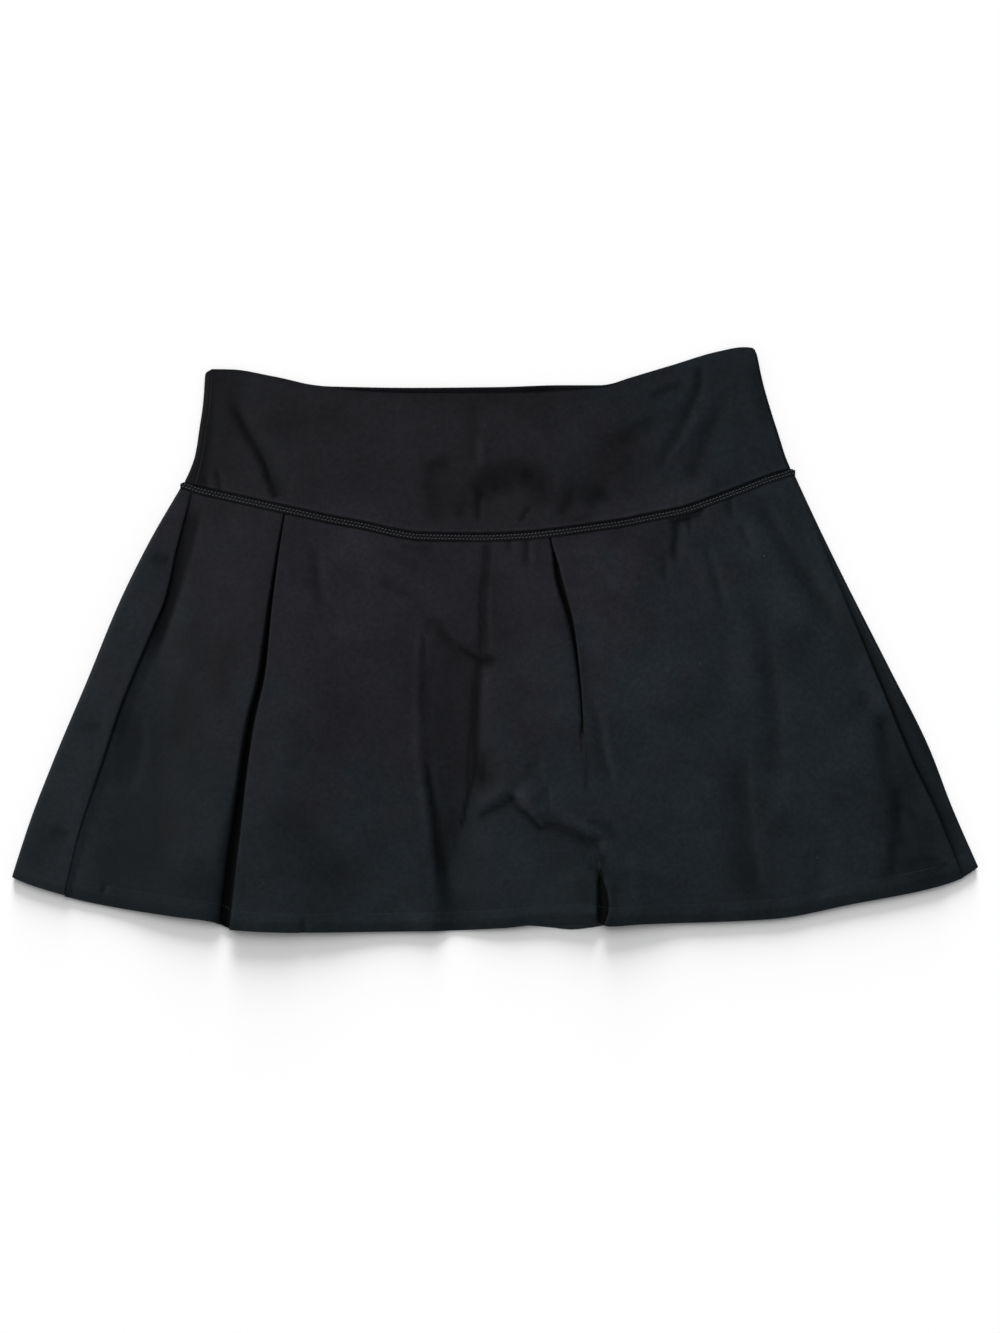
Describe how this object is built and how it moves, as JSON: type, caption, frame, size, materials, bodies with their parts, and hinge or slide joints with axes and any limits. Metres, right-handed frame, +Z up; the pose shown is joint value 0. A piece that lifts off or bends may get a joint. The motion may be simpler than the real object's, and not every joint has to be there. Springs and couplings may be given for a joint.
{
  "type": "tennis skort laid flat",
  "caption": "Flared tennis skort with a wide waistband, knife pleats in the front and inner shorts, laid flat with its front up.",
  "frame": {"origin": "on the surface that the skort lies on, under the middle of its outline", "axes": "+Z up from that surface, +Y towards the waist edge, +X towards the right side as the front is seen"},
  "size_m": [0.6375, 0.3844, 0.0102],
  "materials": {
    "skirt_jersey": "matt black knit with a faint cool sheen",
    "waistband_jersey": "smooth matt black knit, cut double",
    "seam_strip": "black knit under two rows of stitching",
    "shorts_jersey": "plain matt black knit"
  },
  "bodies": {
    "root": {"waistband_front": "waistband_jersey", "waistband_back": "waistband_jersey", "waist_seam_strip": "seam_strip", "skirt_front": "skirt_jersey", "skirt_back": "skirt_jersey", "shorts_front_left": "shorts_jersey", "shorts_front_right": "shorts_jersey", "shorts_back_left": "shorts_jersey", "shorts_back_right": "shorts_jersey"}
  },
  "joints": []
}
